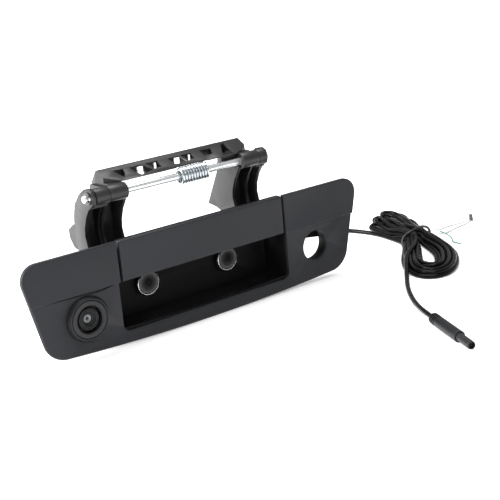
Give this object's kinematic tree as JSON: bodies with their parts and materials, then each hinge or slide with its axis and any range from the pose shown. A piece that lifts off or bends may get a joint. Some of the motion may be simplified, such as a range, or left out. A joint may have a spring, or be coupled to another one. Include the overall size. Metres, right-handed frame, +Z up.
{
  "type": "backup camera",
  "caption": "Tailgate pull handle with a backup camera beside it, a lock opening, a sprung lever behind and a tied cable that ends in a round plug.",
  "frame": {"origin": "centre of the handle assembly's base, on the floor it stands on (the free cable and its plug are left out)", "axes": "+X along the bezel's width to the right as seen from the front, +Y from the front face to the back, +Z up"},
  "size_m": [0.5026, 0.3446, 0.1312],
  "materials": {
    "black_plastic": "finely textured moulded plastic",
    "black_frame": "satin moulded plastic",
    "camera_plastic": "satin moulded plastic",
    "black_rubber": "soft matte rubber",
    "pale_plastic": "plain acetal",
    "dark_screws": "dark plated",
    "zinc_steel": "bright zinc plated",
    "lens_glass": "coated glass",
    "aperture_metal": "blackened",
    "circuit_board": "green board",
    "sensor_die": "dark die",
    "cable_jacket": "flexible PVC jacket",
    "wire_tie": "plastic coated wire",
    "plug_plastic": "moulded flexible plastic",
    "pin_brass": "plated contact pins",
    "white_wire": "thin insulation",
    "grey_wire": "thin insulation",
    "green_wire": "thin insulation",
    "terminal_sleeve": "crimp sleeve"
  },
  "bodies": {
    "fixed": {"front_bezel": "black_plastic", "finger_pocket": "black_plastic", "stop_bumpers": "black_rubber", "hinge_bracket_left": "black_frame", "hinge_bracket_right": "black_frame", "bracket_screws": "dark_screws", "camera_screws": "dark_screws", "cover_screws": "dark_screws", "pivot_rod": "zinc_steel", "rod_clip": "zinc_steel", "return_spring": "zinc_steel", "mounting_studs": "zinc_steel", "stud_washers": "zinc_steel", "camera_trim_ring": "camera_plastic", "camera_housing": "camera_plastic", "camera_cover": "camera_plastic", "lens_barrel": "camera_plastic", "lens_front_glass": "lens_glass", "lens_rear_glass": "lens_glass", "lens_seal": "black_rubber", "lens_aperture": "aperture_metal", "camera_board": "circuit_board", "image_sensor": "sensor_die", "camera_yoke": "zinc_steel", "cable_gland": "black_rubber", "cable_lead": "cable_jacket", "cable_hank": "cable_jacket", "cable_tail": "cable_jacket", "hank_tie": "wire_tie", "plug_relief": "plug_plastic", "plug_body": "plug_plastic", "plug_shell": "plug_plastic", "plug_core": "plug_plastic", "plug_pins": "pin_brass", "power_wire_white": "white_wire", "power_wire_grey": "grey_wire", "trigger_wire": "green_wire", "wire_terminal": "terminal_sleeve"},
    "lever": {"handle_paddle": "black_plastic", "lever_frame": "black_frame", "rod_bushings": "pale_plastic", "paddle_screws": "dark_screws"}
  },
  "joints": [
    {"name": "handle_pull", "type": "hinge", "parent": "fixed", "child": "lever", "pos_m": [0, -0.01265, 0.1157], "axis": [-1, 0, 0], "range_deg": [0, 28], "stiffness_Nm_per_rad": 0.6, "springref_deg": -20.05, "deforming": ["return_spring"]}
  ]
}
